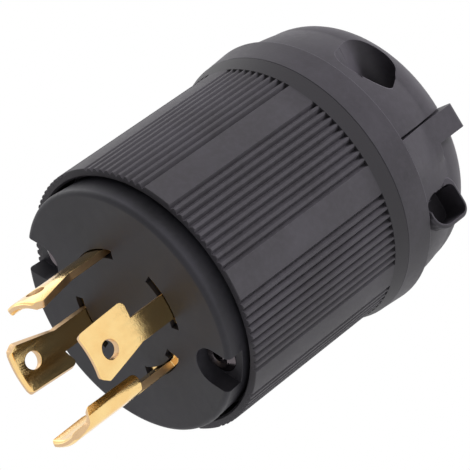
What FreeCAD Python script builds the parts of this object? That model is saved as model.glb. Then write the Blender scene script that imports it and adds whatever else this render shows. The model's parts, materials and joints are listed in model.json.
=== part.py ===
import FreeCAD
import Part
import math
import os

# A rewireable 30 A, 125/250 V twist-locking plug with four blades, for a shore power cord.
# Millimetres. The plug's axis is Y and the origin is the centre of the mating face: the blades
# point to -Y, the cord leaves to +Y, and the neutral blade is at the top, +Z.
# Angles are in degrees, clockwise from +Z as seen from the blades' side. A local frame at an angle
# has X along the clockwise tangent, Y along the plug's axis and Z along the radius.

Vector = FreeCAD.Vector
ORIGIN = Vector(0, 0, 0)
AXIS = Vector(0, 1, 0)

# Clearances
running_gap = 0.05
slot_gap = 0.2
seat_gap = 0.15
split_gap = 0.4
clamp_end_gap = 0.02

# Blades: curved plates on one pitch circle, with an outer and an inner radius
blade_outer_radius = 13.0
blade_thickness = 1.5
blade_tip_bevel = 0.55
blade_tip_land = 0.6
blade_corner_round = 0.9
live_angles = {"blade_neutral": 0.0, "blade_line_x": 90.0, "blade_line_y": 270.0}
live_length = 19.2
live_neck_length = 8.4
live_neck_from = -7.7
live_neck_to = 14.3
live_hook = -20.0
live_flare = 23.2
live_tip_to = 20.4
live_base_half = 23.4
live_slot_half = 24.9
flare_setback = 1.7
blade_hole_radius = 1.75
blade_hole_angle = 3.2
blade_hole_setback = 4.0
ground_angle = 171.8
ground_terminal_angle = 180.0
ground_length = 25.5
ground_neck_length = 9.3
ground_neck_from = -9.6
ground_neck_to = 12.2
ground_hook = -24.6
ground_flare = 23.6
ground_tip_from = -13.0
ground_base_half = 24.6
ground_slot_half = 26.2
flap_width = 1.1
flap_end = 22.2
flap_slant = 2.0
base_recess = 0.8
flange_half = 27.0
flange_height = 3.0

# Terminals: the flat tail of each blade, its screw and the clamping plate under it
tail_width = 9.0
tail_inset = 0.1
tail_end = 26.0
terminal_y = 19.5
terminal_thread_radius = 2.0
terminal_hole_gap = 0.15
terminal_head_radius = 3.6
terminal_head_height = 2.4
terminal_screw_reach = 6.0
plate_width = 8.4
plate_length = 9.0
plate_thickness = 2.2
plate_drop = 5.8
driver_slot_width = 1.0
driver_slot_depth = 1.1

# Front insulator
face_radius = 24.25
face_round = 0.8
insulator_depth = 10.0
screw_circle_radius = 20.8
assembly_screw_angles = (131.0, 311.0)
screw_pocket_radius = 3.95
screw_pocket_depth = 4.2

# Long assembly screws
assembly_thread_radius = 2.0
assembly_head_radius = 3.4
assembly_head_height = 2.7
assembly_screw_end = 50.5
assembly_hole_gap = 0.25
cross_width = 1.1
cross_depth = 1.4

# Terminal block
block_radius = 21.8
block_base = 4.0
block_end = 31.0
chamber_depth = 6.2
chamber_inner_half = 4.4
chamber_outer_half = 5.8
block_screw_radius = 1.5
block_screw_head_radius = 2.8
block_screw_head_height = 2.0
block_screw_tip = 5.0

# Grip sleeve
sleeve_front = 4.0
sleeve_radius = 27.05
sleeve_mouth_wall = 1.75
sleeve_wall = 2.05
sleeve_ledge_wall = 3.75
sleeve_ledge_length = 3.0
sleeve_edge_chamfer = 0.4
mouth_chamfer = 0.4
sleeve_flare_start = 42.4
sleeve_end = 45.75
sleeve_flare = 1.0
groove_groups = 8
grooves_per_group = 10
groove_pitch = 3.375
groove_width = 1.05
groove_depth = 0.75
groove_turn = 3.2
groove_end = 42.9

# Rear housing: ring, bulkhead and the fixed half of the domed cord clamp
ring_end = 51.7
ring_step = 0.45
ring_edge_chamfer = 0.25
spigot_length = 4.0
housing_wall = 2.4
bulkhead = 2.5
insert_boss_radius = 4.4
insert_radius = 2.9
insert_length = 8.0
cord_hole_radius = 11.5
dome_taper = 2.2
dome_shoulder = 61.1
dome_round = 8.0

# Cord clamp: the dome is split by a plane through the axis at this angle
split_angle = 86.5
cord_radius = 9.5
jaw_groove_depth = 0.9
jaw_wall = 6.6
jaw_land = 1.6
jaw_lands = 4
jaw_start = 53.5
jaw_mouth = 2.0
clamp_screw_y = 58.3
clamp_screw_inset = 4.55
clamp_thread_radius = 1.5
clamp_hole_gap = 0.25
clamp_head_radius = 2.85
clamp_head_height = 2.6
clamp_seat = 6.4
clamp_screw_end = 11.6
head_pocket_length = 10.3
head_pocket_width = 6.65
head_pocket_y = 59.6
head_pocket_inset = 4.7
head_pocket_tilt = 21.7
head_pocket_wall = 1.6
nut_radius = 2.15
nut_length = 4.0
nut_seat = 6.0
nut_gap = 0.1
nut_hood_start = 10.9
nut_hood_end = 19.4
nut_hood_front = 51.9
nut_hood_back = 61.2
nut_hood_drop = 2.2
nut_hood_wall = 0.7
nut_hood_front_corner = 3.7
nut_hood_back_corner = 2.3
nut_hood_edge = 0.4
nut_window_start = 12.4
nut_window_depth = 8.1
nut_floor_wall = 2.0
tongue_height = 0.6
tongue_width = 4.9
tongue_start = 53.0
tongue_rise = 58.8
tongue_top = 60.6
tongue_end = 68.1
tongue_sink = 0.8
tongue_round = 1.1

# Worked out from the sizes above
blade_inner_radius = blade_outer_radius - blade_thickness
flap_inner_radius = blade_inner_radius - flap_width
tail_offset = blade_inner_radius - tail_inset
terminal_screw_tip = tail_offset - terminal_screw_reach
plate_inner = tail_offset - plate_drop
chamber_inner = tail_offset - chamber_depth
sleeve_mouth_radius = sleeve_radius - sleeve_mouth_wall
sleeve_bore_radius = sleeve_radius - sleeve_wall
sleeve_ledge_radius = sleeve_radius - sleeve_ledge_wall
sleeve_end_radius = sleeve_radius + sleeve_flare
ring_radius = sleeve_end_radius + ring_step
dome_radius = ring_radius - dome_taper
clamp_screw_offset = dome_radius - clamp_screw_inset
head_pocket_offset = dome_radius - head_pocket_inset
nut_hood_face = dome_radius - nut_hood_drop
nut_window_floor = dome_radius - nut_window_depth
tongue_face = dome_radius + tongue_height
spigot_radius = sleeve_bore_radius - seat_gap
spigot_start = sleeve_end - spigot_length
dome_end = dome_shoulder + dome_round
half_gap = split_gap / 2
block_start = insulator_depth
chamber_start = block_start + block_base
ledge_end = insulator_depth + sleeve_ledge_length
FAR = 60.0


def turned(shape, angle):
    """Turns a shape made in the local frame to its angle about the plug's axis."""
    placed = shape.copy()
    placed.rotate(ORIGIN, AXIS, angle)
    return placed


def rod(radius, start, end, centre=ORIGIN):
    """A cylinder along the plug's axis."""
    return Part.makeCylinder(radius, end - start, centre + Vector(0, start, 0), AXIS)


def local_box(x_from, x_to, y_from, y_to, z_from, z_to):
    size = Vector(x_to - x_from, y_to - y_from, z_to - z_from)
    return Part.makeBox(size.x, size.y, size.z, Vector(x_from, y_from, z_from))


def revolved(points):
    """A solid of revolution about the plug's axis, from (radius, y) corners."""
    corners = [Vector(radius, y, 0) for radius, y in points]
    face = Part.Face(Part.makePolygon(corners + corners[:1]))
    return face.revolve(ORIGIN, AXIS, 360)


def sector(inner, outer, from_angle, to_angle, start, end):
    """A curved plate on the pitch circle between two angles."""
    middle = (from_angle + to_angle) / 2

    def on_circle(radius, angle):
        turn = math.radians(angle)
        return Vector(radius * math.sin(turn), start, radius * math.cos(turn))

    outer_arc = Part.Arc(on_circle(outer, from_angle), on_circle(outer, middle), on_circle(outer, to_angle))
    inner_arc = Part.Arc(on_circle(inner, to_angle), on_circle(inner, middle), on_circle(inner, from_angle))
    end_side = Part.LineSegment(on_circle(outer, to_angle), on_circle(inner, to_angle))
    start_side = Part.LineSegment(on_circle(inner, from_angle), on_circle(outer, from_angle))
    edges = [outer_arc.toShape(), end_side.toShape(), inner_arc.toShape(), start_side.toShape()]
    return Part.Face(Part.Wire(edges)).extrude(Vector(0, end - start, 0))


def outline_prism(points, low, high):
    """A prism along the local radius, from (x, y) corners."""
    corners = [Vector(x, y, low) for x, y in points]
    face = Part.Face(Part.makePolygon(corners + corners[:1]))
    return face.extrude(Vector(0, 0, high - low))


def rounded_uprights(shape, places, radius):
    """Rounds the edges of a prism that run along the local radius at the given (x, y) places."""
    edges = []
    for edge in shape.Edges:
        ends = [vertex.Point for vertex in edge.Vertexes]
        if len(ends) != 2 or abs(ends[0].z - ends[1].z) < 1e-6:
            continue
        for x, y in places:
            if abs(ends[0].x - x) < 1e-6 and abs(ends[0].y - y) < 1e-6:
                edges.append(edge)
    return shape.makeFillet(radius, edges)


def bevelled_sector(inner, outer, half, tip, end):
    """A curved plate whose front edge, at the tip, is bevelled on both faces to a narrow land."""
    middle = (inner + outer) / 2
    land = blade_tip_land / 2
    profile = [(inner, end), (inner, tip + blade_tip_bevel), (middle - land, tip),
               (middle + land, tip), (outer, tip + blade_tip_bevel), (outer, end)]
    side = math.radians(-half)
    points = [Vector(radius * math.sin(side), y, radius * math.cos(side)) for radius, y in profile]
    face = Part.Face(Part.makePolygon(points + points[:1]))
    return face.revolve(ORIGIN, AXIS, 2 * half)


def offset_at(angle):
    """The sideways place of an angle on the blades' outer radius."""
    return blade_outer_radius * math.sin(math.radians(angle))


def tail():
    """The flat rear end of a blade, with the clearance hole for its terminal screw."""
    half = tail_width / 2
    plate = local_box(-half, half, insulator_depth - flange_height, tail_end,
                      tail_offset, tail_offset + blade_thickness)
    hole_radius = terminal_thread_radius + terminal_hole_gap
    hole = Part.makeCylinder(hole_radius, FAR, Vector(0, terminal_y, 0), Vector(0, 0, 1))
    return plate.cut(hole)


def blade_root(base_half, flange):
    """The part of a blade inside the insulator, with the flange that the terminal block holds down."""
    root = sector(blade_inner_radius, blade_outer_radius, -base_half, base_half, base_recess, insulator_depth)
    step = sector(blade_inner_radius, blade_outer_radius, -flange, flange,
                  insulator_depth - flange_height, insulator_depth)
    return root.fuse(step)


def live_blade():
    """A current blade in its local frame: hooked and flared head, neck, root and tail."""
    left = offset_at(live_neck_from)
    right = offset_at(live_neck_to)
    hook = offset_at(live_hook)
    tip = (offset_at(live_tip_to), -live_length)
    flare = (offset_at(live_flare), flare_setback - live_length)
    corners = [(left, base_recess), (left, -live_neck_length), (hook, -live_neck_length),
               (hook, -live_length), tip, flare, (right, -live_neck_length), (right, base_recess)]
    outline = outline_prism(corners, 0, FAR)
    outline = rounded_uprights(outline, [corners[2], corners[3], tip], blade_corner_round)
    plate = bevelled_sector(blade_inner_radius, blade_outer_radius, flange_half, -live_length, base_recess)
    blade = plate.common(outline)
    hole_x = offset_at(blade_hole_angle)
    hole_y = blade_hole_setback - live_length
    hole = Part.makeCylinder(blade_hole_radius, FAR, Vector(hole_x, hole_y, 0), Vector(0, 0, 1))
    blade = blade.cut(hole)
    return blade.fuse([blade_root(live_base_half, flange_half), tail()]).removeSplitter()


def ground_flap(start, end, slant):
    """The bent edge of the ground blade, along the hooked side, pointing to the plug's axis."""
    corners = [(blade_outer_radius, start), (flap_inner_radius, start),
               (flap_inner_radius, end + slant), (blade_outer_radius, end)]
    points = [Vector(0, y, radius) for radius, y in corners]
    face = Part.Face(Part.makePolygon(points + points[:1]))
    return turned(face.extrude(Vector(blade_thickness, 0, 0)), ground_hook)


def ground_blade():
    """The ground blade in its local frame: longer, L-shaped in section."""
    left = offset_at(ground_neck_from)
    right = offset_at(ground_neck_to)
    hook = offset_at(ground_hook)
    flare = (offset_at(ground_flare), flare_setback - live_length)
    far_side = (offset_at(ground_flare) * 0.94, -ground_length)
    near_side = (offset_at(ground_tip_from), -ground_length)
    corners = [(left, base_recess), (left, -ground_neck_length), (hook, -ground_neck_length),
               (hook, -flap_end), near_side, far_side, flare, (right, -ground_neck_length), (right, base_recess)]
    outline = outline_prism(corners, 0, FAR)
    outline = rounded_uprights(outline, [corners[2], near_side, far_side], blade_corner_round)
    plate = bevelled_sector(blade_inner_radius, blade_outer_radius, flange_half, -ground_length, base_recess)
    blade = plate.common(outline)
    head_flap = ground_flap(-ground_neck_length, -flap_end, flap_slant)
    root_flap = ground_flap(insulator_depth, base_recess, 0)
    rear = turned(tail(), ground_terminal_angle - ground_angle)
    pieces = [head_flap, root_flap, blade_root(ground_base_half, flange_half), rear]
    return blade.fuse(pieces).removeSplitter()


def blade_slot(half, flange):
    """The opening that one blade goes through, with the deeper seat for its flange."""
    inner = blade_inner_radius - slot_gap
    outer = blade_outer_radius + slot_gap
    through = sector(inner, outer, -half, half, -1, insulator_depth + 1)
    spare = math.degrees(slot_gap / blade_outer_radius)
    seat = sector(inner, outer, -flange - spare, flange + spare,
                  insulator_depth - flange_height - slot_gap, insulator_depth + 1)
    tail_half = tail_width / 2 + slot_gap
    tail_room = local_box(-tail_half, tail_half, insulator_depth - flange_height - slot_gap,
                          insulator_depth + 1, tail_offset - slot_gap, blade_outer_radius)
    return through, seat, tail_room


def front_insulator():
    body = rod(face_radius, 0, insulator_depth)
    front_edge = [edge for edge in body.Edges if abs(edge.BoundBox.YMax) < 1e-6]
    body = body.makeFillet(face_round, front_edge)
    cuts = []
    for angle in live_angles.values():
        for piece in blade_slot(live_slot_half, flange_half):
            cuts.append(turned(piece, angle))
    through, seat, tail_room = blade_slot(ground_slot_half, flange_half)
    cuts += [turned(through, ground_angle), turned(seat, ground_angle), turned(tail_room, ground_terminal_angle)]
    flap_room = local_box(-slot_gap, blade_thickness + slot_gap, -1, insulator_depth + 1,
                          flap_inner_radius - slot_gap, blade_inner_radius)
    cuts.append(turned(flap_room, ground_angle + ground_hook))
    for angle in assembly_screw_angles:
        centre = Vector(0, 0, screw_circle_radius)
        pocket = rod(screw_pocket_radius, -1, screw_pocket_depth, centre)
        side_way = local_box(-screw_pocket_radius, screw_pocket_radius, -1, screw_pocket_depth,
                             screw_circle_radius, FAR)
        hole = rod(assembly_thread_radius + assembly_hole_gap, 0, FAR, centre)
        cuts += [turned(pocket.fuse(side_way), angle), turned(hole, angle)]
    cuts.append(rod(block_screw_radius + running_gap, block_screw_tip - 1, insulator_depth + 1))
    return body.cut(cuts)


def terminal_angles():
    return list(live_angles.values()) + [ground_terminal_angle]


def terminal_block():
    """The inner insulator: it holds the blades down and keeps the four terminals apart."""
    body = rod(block_radius, block_start, block_end)
    cuts = []
    tail_half = tail_width / 2 + slot_gap
    for angle in terminal_angles():
        tail_slot = local_box(-tail_half, tail_half, block_start - 1, chamber_start + 1,
                              tail_offset - slot_gap, tail_offset + blade_thickness + slot_gap)
        inner_room = local_box(-chamber_inner_half, chamber_inner_half, chamber_start, block_end + 1,
                               chamber_inner, tail_offset)
        outer_room = local_box(-chamber_outer_half, chamber_outer_half, chamber_start, block_end + 1,
                               tail_offset - slot_gap, FAR)
        cuts += [turned(tail_slot, angle), turned(inner_room, angle), turned(outer_room, angle)]
    for angle in assembly_screw_angles:
        channel = rod(assembly_thread_radius + assembly_hole_gap, block_start - 1, block_end + 1,
                      Vector(0, 0, screw_circle_radius))
        cuts.append(turned(channel, angle))
    cuts.append(rod(block_screw_radius + running_gap, block_start - 1, block_end + 1))
    return body.cut(cuts)


def block_screw():
    shank = rod(block_screw_radius, block_screw_tip, block_end)
    head = rod(block_screw_head_radius, block_end, block_end + block_screw_head_height)
    slot_floor = block_end + block_screw_head_height - driver_slot_depth
    slot = local_box(-driver_slot_width / 2, driver_slot_width / 2, slot_floor, FAR, -FAR, FAR)
    return shank.fuse(head).cut(slot)


def wire_clamp():
    """The threaded plate of one terminal, in its local frame, drawn back from the tail."""
    half = plate_width / 2
    plate = local_box(-half, half, terminal_y - plate_length / 2, terminal_y + plate_length / 2,
                      plate_inner, plate_inner + plate_thickness)
    hole = Part.makeCylinder(terminal_thread_radius + running_gap, FAR, Vector(0, terminal_y, 0), Vector(0, 0, 1))
    return plate.cut(hole)


def terminal_screw():
    """One terminal screw, in its local frame: its head seats on the blade's tail."""
    seat = tail_offset + blade_thickness
    shank = Part.makeCylinder(terminal_thread_radius, seat - terminal_screw_tip,
                              Vector(0, terminal_y, terminal_screw_tip), Vector(0, 0, 1))
    head = Part.makeCylinder(terminal_head_radius, terminal_head_height,
                             Vector(0, terminal_y, seat), Vector(0, 0, 1))
    slot = local_box(-FAR, FAR, terminal_y - driver_slot_width / 2, terminal_y + driver_slot_width / 2,
                     seat + terminal_head_height - driver_slot_depth, FAR)
    return shank.fuse(head).cut(slot)


def cross_recess(radius, depth):
    """A cross for a screwdriver: its floor is at the local origin and it opens to -Y."""
    arm = local_box(-radius, radius, -depth, 0, -cross_width / 2, cross_width / 2)
    other = local_box(-cross_width / 2, cross_width / 2, -depth, 0, -radius, radius)
    return arm.fuse(other)


def assembly_screw():
    seat = screw_pocket_depth
    shank = rod(assembly_thread_radius, seat, assembly_screw_end)
    top = seat - assembly_head_height
    head = rod(assembly_head_radius, top, seat)
    rim = [edge for edge in head.Edges if abs(edge.BoundBox.YMax - top) < 1e-6]
    head = head.makeChamfer(assembly_head_height / 4, rim)
    recess = cross_recess(assembly_head_radius * 0.62, 2 * cross_depth)
    recess.translate(Vector(0, top + cross_depth, 0))
    screw = head.fuse(shank).cut(recess)
    screw.translate(Vector(0, 0, screw_circle_radius))
    return screw


def sleeve():
    """The ribbed barrel that is gripped, clamped between the front insulator and the rear housing."""
    profile = [(sleeve_mouth_radius + mouth_chamfer, sleeve_front),
               (sleeve_radius - sleeve_edge_chamfer, sleeve_front),
               (sleeve_radius, sleeve_front + sleeve_edge_chamfer),
               (sleeve_radius, sleeve_flare_start), (sleeve_end_radius, sleeve_end),
               (sleeve_bore_radius, sleeve_end), (sleeve_bore_radius, ledge_end),
               (sleeve_ledge_radius, ledge_end), (sleeve_ledge_radius, insulator_depth),
               (sleeve_mouth_radius, insulator_depth), (sleeve_mouth_radius, sleeve_front + mouth_chamfer)]
    body = revolved(profile)
    half = groove_width / 2
    floor = sleeve_radius - groove_depth
    top = sleeve_radius + groove_depth
    widening = half * (top - floor) / groove_depth
    start = sleeve_front - 1
    corners = [Vector(0, start, floor), Vector(widening, start, top), Vector(-widening, start, top)]
    cutter = Part.Face(Part.makePolygon(corners + corners[:1])).extrude(Vector(0, groove_end - start, 0))
    cutters = []
    for group in range(groove_groups):
        middle = (group + 0.5) * 360.0 / groove_groups + groove_turn
        for number in range(grooves_per_group):
            step = number - (grooves_per_group - 1) / 2
            cutters.append(turned(cutter, middle + step * groove_pitch))
    return body.cut(cutters)


def dome_profile(inset):
    """The dome's outer shape from the ring to the back, or the same drawn in by a wall."""
    ring = Vector(ring_radius - inset, ring_end, 0)
    shoulder = Vector(dome_radius - inset, dome_shoulder, 0)
    radius = dome_round - inset
    diagonal = radius * math.sqrt(0.5)
    turn_centre = Vector(dome_radius - dome_round, dome_shoulder, 0)
    middle = turn_centre + Vector(diagonal, diagonal, 0)
    back = turn_centre + Vector(0, radius, 0)
    edges = [
        Part.LineSegment(Vector(0, ring_end, 0), ring).toShape(),
        Part.LineSegment(ring, shoulder).toShape(),
        Part.Arc(shoulder, middle, back).toShape(),
        Part.LineSegment(back, Vector(0, back.y, 0)).toShape(),
        Part.LineSegment(Vector(0, back.y, 0), Vector(0, ring_end, 0)).toShape(),
    ]
    return Part.Face(Part.Wire(edges)).revolve(ORIGIN, AXIS, 360)


def across(radius, start, end, y, offset):
    """A cylinder that crosses the split, in the clamp's local frame."""
    return Part.makeCylinder(radius, end - start, Vector(start, y, offset), Vector(1, 0, 0))


def head_pocket(start, end, spare, side):
    """A pocket with round ends that crosses the split: its long way leans outwards to the ring."""
    radius = head_pocket_width / 2 + spare
    reach = (head_pocket_length - head_pocket_width) / 2
    middle = local_box(start, end, -reach, reach, -radius, radius)
    ends = [across(radius, start, end, turn * reach, 0) for turn in (-1, 1)]
    pocket = middle.fuse(ends)
    pocket.rotate(ORIGIN, Vector(1, 0, 0), -side * head_pocket_tilt)
    pocket.translate(Vector(0, head_pocket_y, side * head_pocket_offset))
    return pocket


def cord_path():
    """The room for the cord through the dome: lands that grip it, with grooves between."""
    path = rod(cord_radius + jaw_groove_depth, ring_end - 1, dome_end + 1)
    mouth = Part.makeCone(cord_radius, cord_radius + jaw_mouth, jaw_mouth,
                          Vector(0, dome_end - jaw_mouth, 0), AXIS)
    pitch = (dome_end - jaw_mouth - jaw_start - jaw_land) / (jaw_lands - 1)
    lands = []
    for number in range(jaw_lands):
        start = jaw_start + number * pitch
        ring = rod(cord_radius + jaw_groove_depth + 1, start, start + jaw_land)
        lands.append(ring.cut(rod(cord_radius, start, start + jaw_land)))
    return path.cut(lands).fuse(mouth)


def jaw_sleeve():
    return rod(cord_radius + jaw_groove_depth + jaw_wall, ring_end, dome_end - housing_wall / 2)


def clamp_sides():
    return (clamp_screw_offset, -clamp_screw_offset)


def cord_clamp():
    """The loose half of the dome, in the clamp's local frame: it holds the screws' heads."""
    kept = [jaw_sleeve()]
    cuts = [cord_path()]
    for offset in clamp_sides():
        side = math.copysign(1, offset)
        kept.append(head_pocket(-FAR, 0, head_pocket_wall, side))
        cuts.append(head_pocket(-FAR, -clamp_seat, 0, side))
        cuts.append(across(clamp_thread_radius + clamp_hole_gap, -FAR, 0, clamp_screw_y, offset))
    shell = dome_profile(0).cut(dome_profile(housing_wall).cut(kept))
    half_space = local_box(-FAR, -half_gap, ring_end + clamp_end_gap, FAR * 2, -FAR, FAR)
    return shell.cut(cuts).common(half_space).removeSplitter()


def side_block(spare, low, high):
    """A block square to the clamp's side, with round corners: the nut's hood, or its opening."""
    start = nut_hood_start + spare
    if spare > 0:
        start = nut_window_start
    front = nut_hood_front + spare
    back = nut_hood_back - spare
    block = local_box(start, nut_hood_end - spare, front, back, low, high)
    uprights = [edge for edge in block.Edges if edge.BoundBox.ZLength > high - low - 1e-6]
    fronts = [edge for edge in uprights if edge.BoundBox.YMin < front + 1e-6]
    block = block.makeFillet(nut_hood_front_corner - spare, fronts)
    uprights = [edge for edge in block.Edges if edge.BoundBox.ZLength > high - low - 1e-6]
    backs = [edge for edge in uprights if edge.BoundBox.YMin > back - 1e-6]
    return block.makeFillet(nut_hood_back_corner - spare, backs)


def on_side(shape, side):
    return shape if side > 0 else shape.mirror(ORIGIN, Vector(0, 0, 1))


def nut_hood():
    """The rim that stands out round the opening for one nut, where the dome curves away."""
    hood = side_block(0, nut_window_floor - nut_floor_wall, nut_hood_face)
    face = [face for face in hood.Faces if face.BoundBox.ZMin > nut_hood_face - 1e-6][0]
    return hood.makeChamfer(nut_hood_edge, face.OuterWire.Edges)


def nut_core():
    """The solid block inside the dome round one nut and its screw."""
    reach = nut_hood_back - clamp_screw_y
    return local_box(0, nut_hood_end, clamp_screw_y - reach, nut_hood_back, nut_window_floor - nut_floor_wall, FAR)


def nut_room():
    """The opening in the dome's side and the round way from it up to the nut's seat."""
    window = side_block(nut_hood_wall, nut_window_floor, FAR)
    way = across(nut_radius + nut_gap, nut_seat, nut_window_start + nut_hood_wall, clamp_screw_y, clamp_screw_offset)
    return window.fuse(way)


def tongue():
    """A flat lug of the fixed half, beside the split: it rises out of the dome towards the cord's end."""
    root = tongue_face - 2 * housing_wall
    corners = [(tongue_start, root), (tongue_start, tongue_face - 2 * tongue_sink), (tongue_rise, tongue_face - tongue_sink),
               (tongue_top, tongue_face), (tongue_end, tongue_face), (tongue_end, root)]
    points = [Vector(0, y, offset) for y, offset in corners]
    lug = Part.Face(Part.makePolygon(points + points[:1])).extrude(Vector(half_gap + tongue_width, 0, 0))
    edges = [edge for edge in lug.Edges if abs(edge.BoundBox.YMin - tongue_end) < 1e-6
             and edge.BoundBox.XLength > tongue_width and abs(edge.BoundBox.ZMin - tongue_face) < 1e-6]
    return lug.makeFillet(tongue_round, edges)


def rear_housing():
    """Ring and bulkhead behind the sleeve, with the seats for the inserts."""
    ring = revolved([(0, spigot_start), (spigot_radius, spigot_start), (spigot_radius, sleeve_end),
                     (sleeve_end_radius - ring_edge_chamfer, sleeve_end),
                     (sleeve_end_radius, sleeve_end + ring_edge_chamfer),
                     (ring_radius, ring_end), (0, ring_end)])
    room = rod(spigot_radius - housing_wall, spigot_start - 1, ring_end - bulkhead)
    bosses = []
    insert_seats = []
    for angle in assembly_screw_angles:
        centre = Vector(0, 0, screw_circle_radius)
        bosses.append(turned(rod(insert_boss_radius, spigot_start, ring_end, centre), angle))
        seat = rod(insert_radius, spigot_start - 1, spigot_start + insert_length, centre)
        tip_room = rod(assembly_thread_radius + assembly_hole_gap, spigot_start, assembly_screw_end + 0.5, centre)
        insert_seats += [turned(seat, angle), turned(tip_room, angle)]
    ring = ring.cut(room.cut(bosses)).cut(insert_seats)
    return ring.cut(rod(cord_hole_radius, spigot_start - 1, ring_end + 1))


def clamp_base():
    """The fixed half of the dome, in the clamp's local frame, with the seats for the clamp nuts."""
    kept = [jaw_sleeve()]
    cuts = [cord_path()]
    added = []
    for offset in clamp_sides():
        side = math.copysign(1, offset)
        kept.append(on_side(nut_core(), side))
        added += [on_side(nut_hood(), side), on_side(tongue(), side)]
        cuts.append(on_side(nut_room(), side))
        cuts.append(across(clamp_thread_radius + clamp_hole_gap, -1, nut_window_start, clamp_screw_y, offset))
    shell = dome_profile(0).cut(dome_profile(housing_wall).cut(kept))
    half_space = local_box(half_gap, FAR, ring_end - 1, FAR * 2, -FAR, FAR)
    return shell.fuse(added).cut(cuts).common(half_space).removeSplitter()


def clamp_screw(offset):
    """A clamp screw in the clamp's local frame, with its head in the loose half."""
    shank = across(clamp_thread_radius, -clamp_seat, clamp_screw_end, clamp_screw_y, offset)
    top = -clamp_seat - clamp_head_height
    head = across(clamp_head_radius, top, -clamp_seat, clamp_screw_y, offset)
    rim = [edge for edge in head.Edges if abs(edge.BoundBox.XMax - top) < 1e-6]
    head = head.makeChamfer(clamp_head_height / 4, rim)
    recess = cross_recess(clamp_head_radius * 0.62, 2 * cross_depth)
    recess.rotate(ORIGIN, Vector(0, 0, 1), -90)
    recess.translate(Vector(top + cross_depth, clamp_screw_y, offset))
    return head.fuse(shank).cut(recess)


def clamp_nuts():
    """Two round nuts, each pressed up to its seat from the opening in the dome's side."""
    nuts = []
    start = nut_seat + nut_gap
    for offset in clamp_sides():
        nut = across(nut_radius, start, start + nut_length, clamp_screw_y, offset)
        nuts.append(nut.cut(across(clamp_thread_radius + running_gap, 0, FAR, clamp_screw_y, offset)))
    return Part.makeCompound(nuts)


def thread_inserts():
    inserts = []
    for angle in assembly_screw_angles:
        centre = Vector(0, 0, screw_circle_radius)
        body = rod(insert_radius, spigot_start, spigot_start + insert_length, centre)
        bore = rod(assembly_thread_radius + running_gap, 0, FAR, centre)
        inserts.append(turned(body.cut(bore), angle))
    return Part.makeCompound(inserts)


def build():
    """Every piece by name, in its place."""
    pieces = {
        "front_insulator": front_insulator(),
        "terminal_block": terminal_block(),
        "block_screw": block_screw(),
        "grip_sleeve": sleeve(),
        "rear_housing": rear_housing(),
        "clamp_base": turned(clamp_base(), split_angle),
        "cord_clamp": turned(cord_clamp(), split_angle),
        "clamp_nuts": turned(clamp_nuts(), split_angle),
        "thread_inserts": thread_inserts(),
        "blade_ground": turned(ground_blade(), ground_angle),
    }
    for name, angle in live_angles.items():
        pieces[name] = turned(live_blade(), angle)
    terminals = {name.replace("blade_", ""): angle for name, angle in live_angles.items()}
    terminals["ground"] = ground_terminal_angle
    for name, angle in terminals.items():
        pieces["wire_clamp_" + name] = turned(wire_clamp(), angle)
        pieces["terminal_screw_" + name] = turned(terminal_screw(), angle)
    pieces["clamp_screw_right"] = turned(clamp_screw(clamp_screw_offset), split_angle)
    pieces["clamp_screw_left"] = turned(clamp_screw(-clamp_screw_offset), split_angle)
    screws = [turned(assembly_screw(), angle) for angle in assembly_screw_angles]
    pieces["assembly_screws"] = Part.makeCompound(screws)
    return pieces


os.makedirs("parts", exist_ok=True)
for name, shape in build().items():
    shape.exportStep("parts/" + name + ".step")
    solids = len(shape.Solids)
    print(name, "solids", solids, "volume", round(shape.Volume, 1), "valid", shape.isValid())
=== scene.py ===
# %% [markdown]
# # A twist-locking plug for a shore power cord
# The real plug is a black moulded barrel with four curved brass blades at the front and a domed
# clamp for the cord at the back. This file dresses an exact model of it: the model gives every
# place and size, and each cell below builds one piece or one finish around it.

# %% Load the exact model
import json
import math

import bmesh
import bpy
from mathutils import Matrix, Vector


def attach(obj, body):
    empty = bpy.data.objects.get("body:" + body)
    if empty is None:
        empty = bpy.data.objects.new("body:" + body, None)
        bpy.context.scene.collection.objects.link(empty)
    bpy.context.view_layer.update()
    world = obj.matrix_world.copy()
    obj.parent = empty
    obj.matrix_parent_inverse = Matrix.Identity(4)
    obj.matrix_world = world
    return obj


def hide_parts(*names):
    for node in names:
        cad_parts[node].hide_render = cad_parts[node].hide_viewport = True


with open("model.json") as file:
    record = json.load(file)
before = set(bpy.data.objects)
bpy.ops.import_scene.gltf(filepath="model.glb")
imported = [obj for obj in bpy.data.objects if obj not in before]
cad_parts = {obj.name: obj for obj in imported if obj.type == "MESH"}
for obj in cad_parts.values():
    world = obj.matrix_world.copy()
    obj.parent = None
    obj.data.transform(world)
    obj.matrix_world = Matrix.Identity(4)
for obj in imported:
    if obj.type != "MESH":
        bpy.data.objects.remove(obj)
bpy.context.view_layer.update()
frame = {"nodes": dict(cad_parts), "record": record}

# %% [markdown]
# ## The camera
# The photograph was taken with a long lens, from the right of the blades and a little above,
# with the camera rolled. Three unit directions and a position say this without any angles:
# a camera looks along its own -Z, so the matrix takes right, up and the reverse of forward.

# %% Place the camera
camera_place = Vector((0.4004, -0.2602, 0.0869))
camera_forward = Vector((-0.7982, 0.5767, -0.1738)).normalized()
camera_up = Vector((0.1625, 0.4840, 0.8599))
camera_right = camera_forward.cross(camera_up).normalized()
camera_up = camera_right.cross(camera_forward)

camera_data = bpy.data.cameras.new("camera")
camera_data.sensor_width = 36.0
camera_data.lens = 206.8
camera = bpy.data.objects.new("camera", camera_data)
bpy.context.scene.collection.objects.link(camera)
turn = Matrix((camera_right, camera_up, -camera_forward)).transposed()
camera.matrix_world = Matrix.Translation(camera_place) @ turn.to_4x4()
bpy.context.scene.camera = camera
print("distance to the plug's face: %.0f mm" % (1000 * camera_place.length))

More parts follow.
